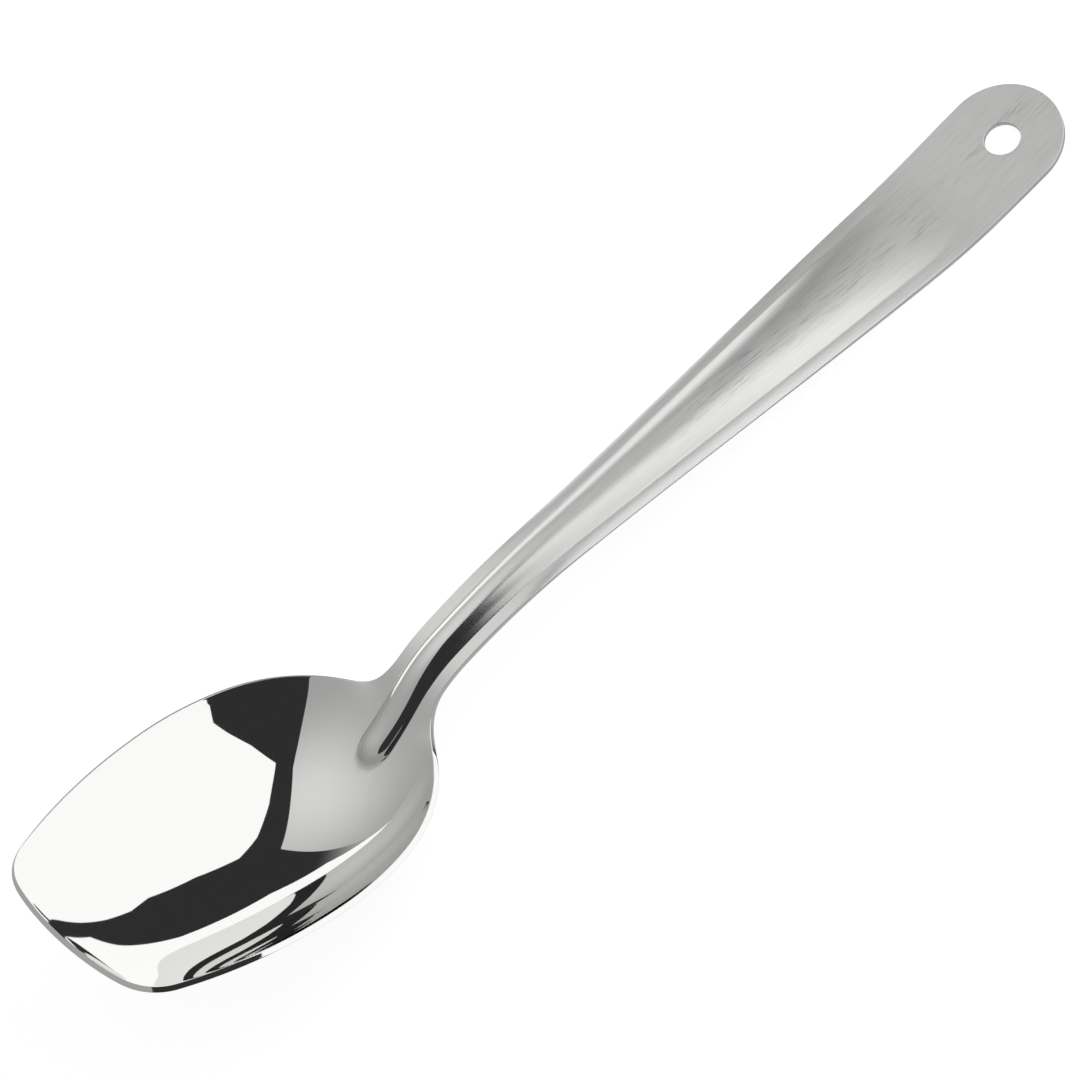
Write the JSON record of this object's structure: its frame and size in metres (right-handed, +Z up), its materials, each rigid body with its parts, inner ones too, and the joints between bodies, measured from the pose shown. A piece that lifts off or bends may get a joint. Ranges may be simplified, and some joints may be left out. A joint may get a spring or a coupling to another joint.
{
  "type": "plating spoon",
  "caption": "One-piece pressed steel plating spoon with a deep blunt-tipped bowl, a cranked ribbed neck and a long flared handle with a hang hole.",
  "frame": {"origin": "on the table, under the middle of the spoon as it lies on its bowl and the end of its handle", "axes": "+X from the bowl's tip to the handle's end, +Y across the spoon, +Z up from the table"},
  "size_m": [0.2576, 0.0596, 0.0336],
  "materials": {
    "steel": "mirror-polished bowl and neck, satin handle brushed along its length"
  },
  "bodies": {
    "root": {"spoon_body": "steel"}
  },
  "joints": []
}
